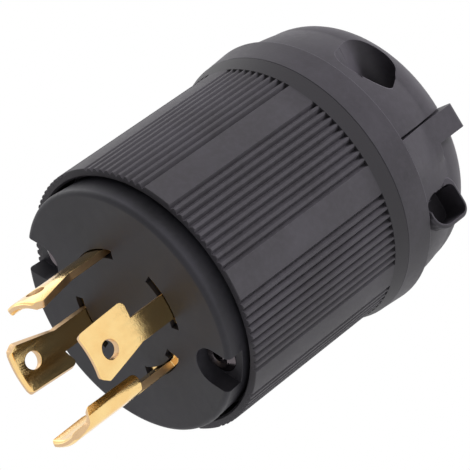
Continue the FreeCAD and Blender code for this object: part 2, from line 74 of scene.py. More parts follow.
# %% [markdown]
# ## Working in millimetres
# The plug's drawings are in millimetres, and Blender's scene is in metres. Each shape is built
# from numbers in millimetres, and one helper scales it as it becomes an object. The plug's axis is
# Y, and an angle on it is counted clockwise from the top, as seen from the blades' side.

# %% Turn points and faces into an object
MM = 0.001


def object_from(name, mesh_points):
    """An object at the origin from a bmesh in millimetres."""
    bmesh.ops.recalc_face_normals(mesh_points, faces=mesh_points.faces)
    bmesh.ops.scale(mesh_points, vec=(MM, MM, MM), verts=mesh_points.verts)
    mesh = bpy.data.meshes.new(name)
    mesh_points.to_mesh(mesh)
    mesh_points.free()
    made = bpy.data.objects.new(name, mesh)
    bpy.context.scene.collection.objects.link(made)
    return made


def points_of(piece):
    """A piece's mesh as a bmesh in millimetres, with doubled points merged."""
    shape = bmesh.new()
    shape.from_mesh(piece.data)
    bmesh.ops.scale(shape, vec=(1 / MM, 1 / MM, 1 / MM), verts=shape.verts)
    bmesh.ops.remove_doubles(shape, verts=shape.verts, dist=0.001)
    return shape


def turned(angle):
    """The turn that takes a shape drawn at the top to its angle about the plug's axis."""
    return Matrix.Rotation(math.radians(angle), 4, "Y")


# %% [markdown]
# ## Round pieces
# The insulator, the barrel and every screw are turned shapes. A lathe helper takes the half
# section as (radius, y) corners and spins it about Y. Sharp corners catch no light, so a second
# helper first replaces chosen corners by short arcs.

# %% Lathe and corner rounding
def rounded(points, radii, steps=5):
    """The closed outline with arcs at the corners that radii names, by index."""
    outline = []
    count = len(points)
    for index, corner in enumerate(points):
        radius = radii.get(index, 0)
        here = Vector(corner)
        if not radius:
            outline.append(here)
            continue
        before = (Vector(points[index - 1]) - here).normalized()
        after = (Vector(points[(index + 1) % count]) - here).normalized()
        half = before.angle(after) / 2
        reach = radius / math.tan(half)
        centre = here + (before + after).normalized() * radius / math.sin(half)
        start = here + before * reach - centre
        end = here + after * reach - centre
        for step in range(steps + 1):
            outline.append(centre + start.slerp(end, step / steps))
    return outline


def lathe(name, outline, columns=192, first_angle=0.0):
    """Spins a closed outline of (radius, y) about the plug's axis."""
    shape = bmesh.new()
    rings = []
    for radius, y in outline:
        if radius < 1e-6:
            pole = shape.verts.new((0, y, 0))
            rings.append([pole] * columns)
            continue
        ring = []
        for column in range(columns):
            angle = math.radians(first_angle) + 2 * math.pi * column / columns
            ring.append(shape.verts.new((radius * math.sin(angle), y, radius * math.cos(angle))))
        rings.append(ring)
    for number, ring in enumerate(rings):
        other = rings[(number + 1) % len(rings)]
        for column in range(columns):
            near = (column + 1) % columns
            corners = [ring[column], ring[near], other[near], other[column]]
            distinct = list(dict.fromkeys(corners))
            if len(distinct) > 2:
                shape.faces.new(distinct)
    return object_from(name, shape)


# %% [markdown]
# ## Cutting
# Pockets, slots and recesses come from solid tools: a tool is subtracted from a piece with a
# Boolean modifier. The result is kept as a plain mesh and the tool is thrown away.

# %% Modifier and Boolean helpers
def keep_evaluated(piece):
    """Replaces a piece's mesh by what its modifiers make, and clears the modifiers."""
    graph = bpy.context.evaluated_depsgraph_get()
    result = bpy.data.meshes.new_from_object(piece.evaluated_get(graph))
    piece.modifiers.clear()
    old = piece.data
    piece.data = result
    bpy.data.meshes.remove(old)
    result.name = piece.name


def cut(piece, tools):
    """Cuts the tools out of a piece and removes them."""
    for tool in tools:
        step = piece.modifiers.new("solid", "BOOLEAN")
        step.operation = "DIFFERENCE"
        step.solver = "EXACT"
        step.object = tool
        keep_evaluated(piece)
        bpy.data.objects.remove(tool)


def box_tool(low, high, angle=0.0):
    shape = bmesh.new()
    bmesh.ops.create_cube(shape, size=1.0)
    size = Vector(high) - Vector(low)
    middle = (Vector(high) + Vector(low)) / 2
    placed = turned(angle) @ Matrix.Translation(middle) @ Matrix.Diagonal((*size, 1.0))
    bmesh.ops.transform(shape, matrix=placed, verts=shape.verts)
    return object_from("tool", shape)


def rod_tool(radius, start, end, angle=0.0, columns=64):
    """A round tool between two points of the local frame at an angle."""
    start, end = Vector(start), Vector(end)
    shape = bmesh.new()
    length = (end - start).length
    bmesh.ops.create_cone(shape, cap_ends=True, segments=columns,
                          radius1=radius, radius2=radius, depth=length)
    aim = (end - start).to_track_quat("Z", "Y").to_matrix().to_4x4()
    placed = turned(angle) @ Matrix.Translation((start + end) / 2) @ aim
    bmesh.ops.transform(shape, matrix=placed, verts=shape.verts)
    return object_from("tool", shape)


def bevel(piece, width, segments=3, angle=30.0):
    """Rounds every edge that bends by more than the angle."""
    step = piece.modifiers.new("edges", "BEVEL")
    step.width = width * MM
    step.segments = segments
    step.limit_method = "ANGLE"
    step.angle_limit = math.radians(angle)
    keep_evaluated(piece)


# %% [markdown]
# ## Smooth surfaces with crisp edges
# Turned surfaces are smooth across their facets but break at real edges. Shading every face
# smooth and marking the edges that bend by more than an angle as sharp gives both. Edges in a
# chosen cross section can be marked as well, where a surface changes too finely for its angle.
# Weighted normals then let each large face keep its own direction, so that reflections on it
# stay straight.

# %% Shade a piece
def shade(piece, angle=32.0, sharp_sections=(), weighted=True):
    shape = bmesh.new()
    shape.from_mesh(piece.data)
    bmesh.ops.remove_doubles(shape, verts=shape.verts, dist=1e-6)
    limit = math.radians(angle)
    for face in shape.faces:
        face.smooth = True
    for edge in shape.edges:
        edge.smooth = edge.is_manifold and edge.calc_face_angle(0.0) < limit
        for y in sharp_sections:
            if all(abs(vertex.co.y - y * MM) < 2e-6 for vertex in edge.verts):
                edge.smooth = False
    shape.to_mesh(piece.data)
    shape.free()
    if weighted:
        step = piece.modifiers.new("normals", "WEIGHTED_NORMAL")
        step.keep_sharp = True
        keep_evaluated(piece)


# %% [markdown]
# ## Material helpers
# Every finish is built from nodes. These helpers add a node with its inputs set, mix two
# colours by a factor, and turn a noise into a bump.

# %% Node helpers
def add(tree, kind, **sockets):
    node = tree.nodes.new(kind)
    for name, value in sockets.items():
        node.inputs[name.replace("_", " ")].default_value = value
    return node


def start_material(name):
    material = bpy.data.materials.new(name)
    material.use_nodes = True
    tree = material.node_tree
    shader = tree.nodes["Principled BSDF"]
    place = tree.nodes.new("ShaderNodeTexCoord")
    return material, tree, shader, place.outputs["Object"]


def colour_mix(tree, factor, first, second):
    """A colour between two others. Each may be three numbers or the output of a node."""
    mix = tree.nodes.new("ShaderNodeMix")
    mix.data_type = "RGBA"
    tree.links.new(factor, mix.inputs["Factor"])
    for socket, colour in ((mix.inputs["A"], first), (mix.inputs["B"], second)):
        if isinstance(colour, tuple):
            socket.default_value = (*colour, 1)
        else:
            tree.links.new(colour, socket)
    return mix.outputs["Result"]


def spread(tree, value, from_min, from_max, to_min=0.0, to_max=1.0):
    """Maps a range of a value to another range, and clamps it there."""
    node = tree.nodes.new("ShaderNodeMapRange")
    limits = {"From Min": from_min, "From Max": from_max, "To Min": to_min, "To Max": to_max}
    for name, number in limits.items():
        node.inputs[name].default_value = number
    tree.links.new(value, node.inputs["Value"])
    return node.outputs["Result"]


def noise(tree, place, scale, detail=3.0, roughness=0.55):
    node = add(tree, "ShaderNodeTexNoise", Scale=scale, Detail=detail, Roughness=roughness)
    tree.links.new(place, node.inputs["Vector"])
    return node.outputs["Fac"]


def softened_edges(tree, radius):
    """A normal that rounds off the edges by a radius, and a mask that is 1 along them."""
    rounder = tree.nodes.new("ShaderNodeBevel")
    rounder.samples = 6
    rounder.inputs["Radius"].default_value = radius * MM
    surface = tree.nodes.new("ShaderNodeNewGeometry")
    same = tree.nodes.new("ShaderNodeVectorMath")
    same.operation = "DOT_PRODUCT"
    tree.links.new(rounder.outputs["Normal"], same.inputs[0])
    tree.links.new(surface.outputs["Normal"], same.inputs[1])
    return rounder.outputs["Normal"], spread(tree, same.outputs["Value"], 0.99, 0.85)


# %% [markdown]
# ## Moulded plastic
# The body is black plastic, but not a flat black: the mould's fine texture breaks up the gloss,
# the surface shows faint cloudy patches, and the edges are painted paler, a painted highlight
# where light would catch them. The texture and patches come from noise in object space, so they
# stay fixed to the piece from any side. The band behind the grip's grooves gets a darker colour and
# a slightly lower roughness than the textured rest.

# %% Plastic materials
def moulded_plastic(name, dark, light, roughness, specular, texture, edge_radius, smooth_band=None):
    material, tree, shader, place = start_material(name)
    shader.inputs["Specular IOR Level"].default_value = specular
    normal, edges = softened_edges(tree, edge_radius)
    clouds = noise(tree, place, 70.0, 4.0, 0.6)
    mottle = noise(tree, place, 900.0, 3.0, 0.6)
    colour = colour_mix(tree, spread(tree, clouds, 0.35, 0.65), dark, light)
    flecks = tuple(1.5 * part for part in light)
    # Paler colour for the edges: a painted highlight standing in for light caught on rounded edges.
    painted_edge_highlight = tuple(3.2 * part for part in light)
    colour = colour_mix(tree, spread(tree, mottle, 0.42, 0.75, 0.0, 0.35), colour, flecks)
    # The painted edge highlight is mixed in along the edges.
    colour = colour_mix(tree, spread(tree, edges, 0.0, 1.0, 0.0, 0.5), colour, painted_edge_highlight)
    rough = spread(tree, mottle, 0.3, 0.7, roughness - 0.05, roughness + 0.06)
    grain = noise(tree, place, 2600.0, 2.0, 0.5)
    # The band behind the grooves gets a darker colour and its own roughness.
    if smooth_band:
        parts = tree.nodes.new("ShaderNodeSeparateXYZ")
        tree.links.new(place, parts.inputs[0])
        start, end, band_colour, band_roughness = smooth_band
        inside = spread(tree, parts.outputs["Y"], start * MM, (start + 0.02) * MM)
        colour = colour_mix(tree, inside, colour, band_colour)
        blend = tree.nodes.new("ShaderNodeMix")
        tree.links.new(inside, blend.inputs["Factor"])
        tree.links.new(rough, blend.inputs["A"])
        blend.inputs["B"].default_value = band_roughness
        rough = blend.outputs["Result"]
    bump = add(tree, "ShaderNodeBump", Strength=0.25 * texture, Distance=0.00004)
    links = tree.links
    links.new(colour, shader.inputs["Base Color"])
    links.new(rough, shader.inputs["Roughness"])
    links.new(grain, bump.inputs["Height"])
    links.new(normal, bump.inputs["Normal"])
    links.new(bump.outputs["Normal"], shader.inputs["Normal"])
    return material


front_plastic = moulded_plastic(
    "front_plastic", (0.028, 0.027, 0.033), (0.040, 0.038, 0.047),
    roughness=0.50, specular=0.34, texture=0.7, edge_radius=0.12)
grip_plastic = moulded_plastic(
    "grip_plastic", (0.050, 0.046, 0.053), (0.066, 0.061, 0.072),
    roughness=0.58, specular=0.4, texture=1.0, edge_radius=0.08,
    smooth_band=(42.85, 46.0, (0.042, 0.039, 0.045), 0.55))
rear_plastic = moulded_plastic(
    "rear_plastic", (0.042, 0.038, 0.046), (0.060, 0.055, 0.066),
    roughness=0.54, specular=0.4, texture=1.3, edge_radius=0.16)

# %% [markdown]
# ## Metals
# The blades are stamped from polished brass strip: bright, with a fine speckle that shows where a
# reflection turns from light to dark, rolling marks along the strip and a trace of tarnish.
# Screws are plated and smooth; their colour is made dark, painted shade standing in for the black
# round them that they reflect.

# %% Metal materials
def metal(name, bright, tarnished, roughness, speckle, streak_scale, sheared=None):
    material, tree, shader, place = start_material(name)
    shader.inputs["Metallic"].default_value = 1.0
    stretch = tree.nodes.new("ShaderNodeMapping")
    stretch.inputs["Scale"].default_value = streak_scale
    tree.links.new(place, stretch.inputs["Vector"])
    streaks = noise(tree, stretch.outputs["Vector"], 1500.0, 4.0, 0.65)
    clouds = noise(tree, place, 160.0, 4.0, 0.6)
    dots = noise(tree, place, 4500.0, 1.0, 0.5)
    colour = colour_mix(tree, spread(tree, clouds, 0.35, 0.7), bright, tarnished)
    rough = spread(tree, streaks, 0.3, 0.7, roughness - 0.05, roughness + 0.06)
    if sheared:
        mark = tree.nodes.new("ShaderNodeAttribute")
        mark.attribute_name = "sheared"
        colour = colour_mix(tree, mark.outputs["Fac"], colour, sheared)
        torn = tree.nodes.new("ShaderNodeMath")
        torn.operation = "MULTIPLY_ADD"
        torn.inputs[1].default_value = 0.25
        tree.links.new(mark.outputs["Fac"], torn.inputs[0])
        tree.links.new(rough, torn.inputs[2])
        rough = torn.outputs[0]
    coarse = add(tree, "ShaderNodeBump", Strength=1.0, Distance=speckle * MM)
    fine = add(tree, "ShaderNodeBump", Strength=0.5, Distance=speckle * MM * 0.6)
    links = tree.links
    links.new(colour, shader.inputs["Base Color"])
    links.new(rough, shader.inputs["Roughness"])
    links.new(dots, coarse.inputs["Height"])
    links.new(streaks, fine.inputs["Height"])
    links.new(coarse.outputs["Normal"], fine.inputs["Normal"])
    links.new(fine.outputs["Normal"], shader.inputs["Normal"])
    return material


along_axis = (1.0, 0.1, 1.0)
everywhere = (1.0, 1.0, 1.0)
blade_brass = metal("blade_brass", (0.99, 0.73, 0.33), (0.93, 0.60, 0.24), 0.15, 0.014,
                    along_axis, sheared=(0.74, 0.51, 0.29))
terminal_brass = metal("terminal_brass", (0.80, 0.60, 0.30), (0.68, 0.48, 0.22), 0.28, 0.01,
                       everywhere)
# The screws' dark colour is painted shade: the plating is brighter, and the dark stands in for the
# black it reflects.
zinc_steel = metal("zinc_steel", (0.15, 0.13, 0.14), (0.08, 0.07, 0.075), 0.18, 0.006, everywhere)
green_steel = metal("green_steel", (0.10, 0.42, 0.20), (0.05, 0.26, 0.11), 0.30, 0.006, everywhere)
materials = {"front_plastic": front_plastic, "grip_plastic": grip_plastic,
             "rear_plastic": rear_plastic, "blade_brass": blade_brass,
             "terminal_brass": terminal_brass, "insert_brass": terminal_brass,
             "zinc_steel": zinc_steel, "green_steel": green_steel}
print("materials:", sorted(material.name for material in set(materials.values())))


# %% Dress the exact model's own nodes
def dress(piece, material):
    piece.data.materials.clear()
    piece.data.materials.append(material)


slot_of = {entry["node"]: entry["material_slot"] for entry in frame["record"]["subparts"]}
for node, made in frame["nodes"].items():
    dress(made, materials[slot_of[node]])


# %% [markdown]
# ## Finishing a piece
# Every piece of the scene ends the same way: it gets its finish, rides on the body that carries
# it, and stands for a node of the exact model where it is a finer copy of one.

# %% Finish a piece
def finish_piece(piece, slot, body, nodes, angle=32.0, sharp_sections=(), weighted=True):
    shade(piece, angle, sharp_sections, weighted)
    dress(piece, materials[slot])
    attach(piece, body)
    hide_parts(*nodes)
    print(piece.name, "faces:", len(piece.data.polygons))


def join(name, parts):
    """One object from several that touch or overlap, each of them closed."""
    shape = bmesh.new()
    for part in parts:
        shape.from_mesh(part.data)
        bpy.data.objects.remove(part)
    mesh = bpy.data.meshes.new(name)
    shape.to_mesh(mesh)
    shape.free()
    made = bpy.data.objects.new(name, mesh)
    bpy.context.scene.collection.objects.link(made)
    return made


# %% [markdown]
# ## The grip
# The barrel has eight groups of ten V-shaped grooves with plain flats between, and it flares at the
# back. A lathe makes the plain barrel with its columns placed so that each groove falls on whole
# columns. A Geometry Nodes tree then presses the grooves in by rule: where a point lies within
# half a groove's width of a groove's centre, its radius drops to the V.

# %% Plain barrel
sleeve_front, sleeve_end = 4.0, 45.75
sleeve_radius, sleeve_end_radius = 27.05, 28.05
flare_start, groove_end = 42.4, 42.9
groove_turn = 3.2
groups, grooves_per_group = 8, 10
columns_per_group = 120
group_angle = 360.0 / groups
column_angle = group_angle / columns_per_group
groove_pitch = 9 * column_angle
groove_width = 6 * column_angle
groove_depth = 0.75

mouth_radius, bore_radius, ledge_radius = 25.3, 25.0, 23.3
ledge_front, ledge_back = 10.0, 13.0
side_start, side_steps = 4.1, 8
mouth = [(mouth_radius, ledge_front), (mouth_radius, 4.4), (25.7, sleeve_front)]
front_edge = [(26.96, sleeve_front), (sleeve_radius, side_start)]
side = [(sleeve_radius, side_start + (flare_start - side_start) * step / side_steps)
        for step in range(1, side_steps + 1)]
flare_slope = (sleeve_end_radius - sleeve_radius) / (sleeve_end - flare_start)
end_radius = sleeve_radius + flare_slope * (groove_end - flare_start)
groove_step = 0.01
back = [(end_radius, groove_end), (end_radius + 0.004, groove_end + groove_step),
        (sleeve_end_radius, sleeve_end), (bore_radius, sleeve_end)]
bore = [(bore_radius, ledge_back), (ledge_radius, ledge_back), (ledge_radius, ledge_front)]
barrel = lathe("grip_barrel", mouth + front_edge + side + back + bore, groups * columns_per_group,
               groove_turn + column_angle / 2)
print("barrel columns:", groups * columns_per_group, "step: %.3f degrees" % column_angle)


# %% Groove tree
def groove_tree():
    tree = bpy.data.node_groups.new("v_grooves", "GeometryNodeTree")
    face = tree.interface
    face.new_socket("Geometry", in_out="INPUT", socket_type="NodeSocketGeometry")
    sizes = {"Group angle": group_angle, "Turn": groove_turn, "Pitch": groove_pitch,
             "Grooves in a group": float(grooves_per_group), "Width": groove_width,
             "Depth": groove_depth * MM, "Barrel radius": sleeve_radius * MM,
             "Inner limit": 26.0 * MM, "Groove end": groove_end * MM}
    for name, value in sizes.items():
        socket = face.new_socket(name, in_out="INPUT", socket_type="NodeSocketFloat")
        socket.default_value = value
    face.new_socket("Material", in_out="INPUT", socket_type="NodeSocketMaterial")
    face.new_socket("Geometry", in_out="OUTPUT", socket_type="NodeSocketGeometry")
    nodes, links = tree.nodes, tree.links
    given = nodes.new("NodeGroupInput")

    def math_node(operation, *values):
        node = nodes.new("ShaderNodeMath")
        node.operation = operation
        for index, value in enumerate(values):
            if isinstance(value, (int, float)):
                node.inputs[index].default_value = value
            else:
                links.new(value, node.inputs[index])
        return node.outputs[0]

    size = given.outputs
    position = nodes.new("GeometryNodeInputPosition")
    parts = nodes.new("ShaderNodeSeparateXYZ")
    links.new(position.outputs[0], parts.inputs[0])
    x, y, z = parts.outputs
    squares = math_node("ADD", math_node("MULTIPLY", x, x), math_node("MULTIPLY", z, z))
    radius = math_node("SQRT", squares)
    angle = math_node("DEGREES", math_node("ARCTAN2", x, z))
    from_turn = math_node("SUBTRACT", angle, size["Turn"])
    in_group = math_node("FLOORED_MODULO", from_turn, size["Group angle"])
    from_middle = math_node("SUBTRACT", in_group, math_node("MULTIPLY", size["Group angle"], 0.5))
    odd = math_node("SUBTRACT", math_node("DIVIDE", from_middle, size["Pitch"]), 0.5)
    nearest = math_node("ROUND", odd)
    last = math_node("SUBTRACT", math_node("MULTIPLY", size["Grooves in a group"], 0.5), 1.0)
    lowest = math_node("MULTIPLY", math_node("ADD", last, 1.0), -1.0)
    chosen = math_node("MAXIMUM", math_node("MINIMUM", nearest, last), lowest)
    pitches_away = math_node("ABSOLUTE", math_node("SUBTRACT", odd, chosen))
    away = math_node("MULTIPLY", pitches_away, size["Pitch"])
    share = math_node("DIVIDE", away, math_node("MULTIPLY", size["Width"], 0.5))
    rise = math_node("MULTIPLY", math_node("SUBTRACT", share, 1.0), size["Depth"])
    v_radius = math_node("ADD", size["Barrel radius"], rise)
    new_radius = math_node("MINIMUM", radius, v_radius)
    scale = math_node("DIVIDE", new_radius, radius)
    moved = nodes.new("ShaderNodeCombineXYZ")
    links.new(math_node("MULTIPLY", x, scale), moved.inputs[0])
    links.new(y, moved.inputs[1])
    links.new(math_node("MULTIPLY", z, scale), moved.inputs[2])
    outside = math_node("GREATER_THAN", radius, size["Inner limit"])
    before_end = math_node("LESS_THAN", y, math_node("ADD", size["Groove end"], 0.000002))
    where = math_node("MULTIPLY", outside, before_end)
    press = nodes.new("GeometryNodeSetPosition")
    links.new(size["Geometry"], press.inputs["Geometry"])
    links.new(where, press.inputs["Selection"])
    links.new(moved.outputs[0], press.inputs["Position"])
    real = nodes.new("GeometryNodeRealizeInstances")
    links.new(press.outputs[0], real.inputs[0])
    finish = nodes.new("GeometryNodeSetMaterial")
    links.new(real.outputs[0], finish.inputs["Geometry"])
    links.new(size["Material"], finish.inputs["Material"])
    result = nodes.new("NodeGroupOutput")
    links.new(finish.outputs[0], result.inputs[0])
    return tree


def apply_tree(piece, tree, values):
    """Runs a tree on a piece with the given inputs and keeps the result as a plain mesh."""
    step = piece.modifiers.new(tree.name, "NODES")
    step.node_group = tree
    for item in tree.interface.items_tree:
        if item.in_out == "INPUT" and item.name in values:
            step[item.identifier] = values[item.name]
    keep_evaluated(piece)


apply_tree(barrel, groove_tree(), {"Material": grip_plastic})
groove_rims = (groove_end, groove_end + groove_step)
finish_piece(barrel, "grip_plastic", "plug_body", ["grip_sleeve"], 25.0, groove_rims, False)

# %% [markdown]
# ## The front insulator
# The disc at the front carries the blades and closes the barrel. It starts as a lathe piece with a
# round front edge. Curved slots let the blades through, two pockets open to the side take the
# long screws, and shallow rings on the face are the marks of the mould's ejector pins.

# %% Slots, pockets and ejector marks
blade_outer, blade_thickness = 13.0, 1.5
slot_gap = 0.2


def sector_tool(inner, outer, half, start, end, angle, columns=24):
    """A curved block on the blades' circle, centred on an angle."""
    shape = bmesh.new()
    rings = []
    for radius, y in ((inner, start), (outer, start), (outer, end), (inner, end)):
        ring = []
        for column in range(columns + 1):
            place = math.radians(-half + 2 * half * column / columns)
            ring.append(shape.verts.new((radius * math.sin(place), y, radius * math.cos(place))))
        rings.append(ring)
    for number, ring in enumerate(rings):
        other = rings[(number + 1) % 4]
        for column in range(columns):
            shape.faces.new([ring[column], ring[column + 1], other[column + 1], other[column]])
    for end_column in (0, -1):
        shape.faces.new([ring[end_column] for ring in rings])
    bmesh.ops.transform(shape, matrix=turned(angle), verts=shape.verts)
    return object_from("tool", shape)


face_radius, face_depth, face_edge = 24.25, 10, 0.4
tool_front, tool_back = -1, 11
face_outline = rounded([(0, 0), (face_radius, 0), (face_radius, face_depth), (0, face_depth)],
                       {1: face_edge}, 5)
insulator = lathe("front_face", face_outline, 256)
blade_angles = {"neutral": 0.0, "line_x": 90.0, "line_y": 270.0}
ground_angle, ground_hook = 171.8, -24.6
live_slot_half, ground_slot_half = 24.9, 26.2
flap_slot_inner, flap_slot_outer = 10.2, 11.6
slot_inner, slot_outer = blade_outer - blade_thickness - slot_gap, blade_outer + slot_gap
tools = [sector_tool(slot_inner, slot_outer, live_slot_half, tool_front, tool_back, angle)
         for angle in blade_angles.values()]
tools.append(sector_tool(slot_inner, slot_outer, ground_slot_half, tool_front, tool_back,
                         ground_angle))
tools.append(box_tool((-slot_gap, tool_front, flap_slot_inner),
                      (blade_thickness + slot_gap, tool_back, flap_slot_outer),
                      ground_angle + ground_hook))
screw_angles = (131.0, 311.0)
pocket_radius, pocket_depth, screw_circle = 3.9, 3.15, 20.8
shank_hole_radius, past_rim = 2.25, 30
for angle in screw_angles:
    tools.append(rod_tool(pocket_radius, (0, tool_front, screw_circle),
                          (0, pocket_depth, screw_circle), angle, 72))
    tools.append(box_tool((-pocket_radius, tool_front, screw_circle),
                          (pocket_radius, pocket_depth, past_rim), angle))
    tools.append(rod_tool(shank_hole_radius, (0, 3, screw_circle),
                          (0, tool_back, screw_circle), angle, 48))
ejector_marks = [(9.2, 331.0), (6.4, 128.0), (17.6, 65.0)]
for radius, angle in ejector_marks:
    rim = lathe("tool", [(1.25, -0.1), (1.4, -0.1), (1.4, 0.07), (1.25, 0.07)], 48)
    place = turned(angle) @ Vector((0, 0, radius * MM))
    rim.data.transform(Matrix.Translation(place))
    tools.append(rim)
cut(insulator, tools)
finish_piece(insulator, "front_plastic", "plug_body", ["front_insulator"], 28.0)

# %% [markdown]
# ## The blades
# A real blade is stamped from flat strip and then bent round the plug's axis. Here it is made the
# same way: a flat outline is given its thickness, its hole and its rounded edges while it is flat,
# then cut into narrow strips, and each point is carried to the curved section. The front edge is
# thinned on both faces on the way, as the coining tool does it.

# %% Flat blanks
mid_radius = blade_outer - blade_thickness / 2


def at_angle(degrees):
    """The place along the section's middle line of an angle on the blades' circle."""
    return mid_radius * math.radians(degrees)


edge_round = 0.16
coined, thinned, sheared_until = 0.6, 0.55, 0.2


def blank(name, corners, rounds, hole=None):
    """A flat plate from its outline, with a round hole and rounded edges."""
    shape = bmesh.new()
    outline = rounded(corners, rounds, 6)
    half = blade_thickness / 2
    face = shape.faces.new([shape.verts.new((u, y, -half)) for u, y in outline])
    pushed = bmesh.ops.extrude_face_region(shape, geom=[face])
    moved = [item for item in pushed["geom"] if isinstance(item, bmesh.types.BMVert)]
    bmesh.ops.translate(shape, vec=(0, 0, blade_thickness), verts=moved)
    plate = object_from(name, shape)
    if hole:
        u, y, radius = hole
        cut(plate, [rod_tool(radius, (u, y, -2), (u, y, 2), 0.0, 48)])
    bevel(plate, edge_round, 3)
    return plate


def slice_across(shape, place, direction):
    """Cuts every face that a plane crosses, and keeps both sides."""
    everything = shape.verts[:] + shape.edges[:] + shape.faces[:]
    bmesh.ops.bisect_plane(shape, geom=everything, plane_co=place, plane_no=direction, dist=1e-5)


def carried(plate, section, cuts, tip):
    """Bends a blank: cuts it into strips along the section, then carries every point there."""
    shape = points_of(plate)
    shape.normal_update()
    mark = shape.faces.layers.float.new("sheared")
    for face in shape.faces:
        on_edge = abs(face.normal.z) < 0.5
        in_front = face.calc_center_median().y < sheared_until
        face[mark] = 1.0 if on_edge and in_front else 0.0
    for u in cuts:
        slice_across(shape, (u, 0, 0), (1, 0, 0))
    for step in (0.0, 0.25, 0.5, 0.75):
        slice_across(shape, (0, tip + coined * (1 - step), 0), (0, 1, 0))
    for vertex in shape.verts:
        u, y, offset = vertex.co
        near_tip = min(1.0, max(0.0, (tip + coined - y) / coined))
        offset *= 1.0 - thinned * near_tip * near_tip
        (place_x, place_z), (out_x, out_z) = section(u)
        vertex.co = (place_x + offset * out_x, y, place_z + offset * out_z)
    piece = object_from(plate.name, shape)
    bpy.data.objects.remove(plate)
    return piece


def curved_section(u):
    angle = u / mid_radius
    out = (math.sin(angle), math.cos(angle))
    return (mid_radius * out[0], mid_radius * out[1]), out


# %% [markdown]
# ## Current blades
# The three current blades are alike: a neck, a hook on one side, a flared front corner and a hole.
# Behind the face the blade widens, and its flat tail carries the terminal screw.

# %% Make the current blades
tail_half, tail_end, terminal_y = 4.5, 26.0, 19.5
tail_inner, tail_outer, terminal_hole_radius = 11.4, 12.9, 2.15
flange_half, flange_front, flange_back = 27.0, 7.0, 10.0
base_half, root_front, sunk_root = 23.4, 0.5, 1.6
neck_from, neck_to, neck_front = -7.7, 14.3, -8.4
hook, live_tip, tip_to = -20.0, -19.2, 20.4
flare, flare_y = 23.2, -17.5
hole_angle, hole_y, hole_radius = 3.2, -15.2, 1.75


def tail_plate(angle):
    """The flat tail of a blade, with the hole for its terminal screw."""
    tail = box_tool((-tail_half, flange_front, tail_inner), (tail_half, tail_end, tail_outer))
    cut(tail, [rod_tool(terminal_hole_radius, (0, terminal_y, 5), (0, terminal_y, 20), 0.0, 48)])
    bevel(tail, edge_round, 2)
    tail.data.transform(turned(angle))
    return tail


def live_outline(right_root):
    """The flat outline of a current blade. The base's front edge may stand deeper on one side."""
    corners = [(neck_from, root_front), (neck_from, neck_front), (hook, neck_front),
               (hook, live_tip), (tip_to, live_tip), (flare, flare_y), (neck_to, neck_front),
               (neck_to, right_root), (base_half, right_root), (base_half, flange_front),
               (flange_half, flange_front), (flange_half, flange_back),
               (-flange_half, flange_back), (-flange_half, flange_front),
               (-base_half, flange_front), (-base_half, root_front)]
    return [(at_angle(angle), y) for angle, y in corners]


strip_width = 0.55
strip_cuts = [strip_width * step for step in range(-11, 12)]
live_rounds = {2: 0.45, 3: 0.9, 4: 0.9, 5: 0.6}
for name, angle in blade_angles.items():
    outline = live_outline(sunk_root if name == "neutral" else root_front)
    plate = blank("blade_plate_" + name, outline, live_rounds,
                  (at_angle(hole_angle), hole_y, hole_radius))
    curved = carried(plate, curved_section, strip_cuts, live_tip)
    curved.data.transform(turned(angle))
    blade = join("blade_" + name + "_polished", [curved, tail_plate(angle)])
    finish_piece(blade, "blade_brass", "plug_body", ["blade_" + name], 30.0)

# %% [markdown]
# ## The ground blade
# It is longer, and its hooked side is folded inwards, so that it can only enter one way. The fold
# is part of the section that the blank is carried to: the curve, a tight quarter bend, and then a
# short straight run towards the plug's axis.

# %% The folded section
fold_middle = 1.05
fold_side = math.radians(ground_hook)
fold_x = blade_thickness / 2 + fold_middle
fold_z = math.sqrt((mid_radius - fold_middle) ** 2 - fold_x ** 2)
fold_lean = math.atan2(fold_x, fold_z)
fold_turn = math.pi / 2 + fold_lean
fold_start = mid_radius * (fold_side + fold_lean)
fold_end = fold_start - fold_middle * fold_turn
flap_limit = 10.4
flap_end = fold_end - (fold_z - flap_limit)


def folded_section(u):
    if u >= fold_start:
        return curved_section(u)
    bend = min((fold_start - u) / fold_middle, fold_turn)
    lean = fold_lean - bend
    out = Vector((math.sin(lean), math.cos(lean)))
    place = Vector((fold_x, fold_z)) + fold_middle * out
    place.y -= max(0.0, fold_end - u)
    spin = Matrix.Rotation(-fold_side, 2)
    return tuple(spin @ place), tuple(spin @ out)


# %% Make the ground blade
ground_neck_from, ground_neck_to, ground_neck_front = at_angle(-9.6), at_angle(12.2), -9.3
ground_tip, ground_tip_from, ground_tip_to = -25.5, at_angle(-13.0), at_angle(22.1)
ground_base = at_angle(24.6)
ground_outline = [
    (ground_neck_from, root_front), (ground_neck_from, ground_neck_front),
    (flap_end, ground_neck_front), (flap_end, -20.2), (fold_start - 0.9, -22.2),
    (ground_tip_from, ground_tip), (ground_tip_to, ground_tip), (at_angle(23.6), flare_y),
    (ground_neck_to, ground_neck_front), (ground_neck_to, root_front),
    (ground_base, root_front), (ground_base, flange_back),
    (flap_end, flange_back), (flap_end, root_front)]
fold_strip_width = 0.16
fold_cuts = [fold_end + fold_strip_width * step for step in range(0, 13)]
ground_cuts = [cut_at for cut_at in strip_cuts if cut_at > fold_start] + fold_cuts
ground_rounds = {2: 0.45, 3: 0.3, 5: 0.9, 6: 0.9, 7: 0.9}
plate = blank("ground_plate", ground_outline, ground_rounds)
folded = carried(plate, folded_section, ground_cuts, ground_tip)
folded.data.transform(turned(ground_angle))
flange_corners = ((-flange_half, flange_front), (flange_half, flange_front),
                  (flange_half, flange_back), (-flange_half, flange_back))
flange_outline = [(at_angle(angle), y) for angle, y in flange_corners]
flange_plate = blank("ground_flange", flange_outline, {})
flange = carried(flange_plate, curved_section, strip_cuts, ground_tip)
flange.data.transform(turned(ground_angle))
ground = join("blade_ground_polished", [folded, flange, tail_plate(180.0)])
finish_piece(ground, "blade_brass", "plug_body", ["blade_ground"], 30.0)

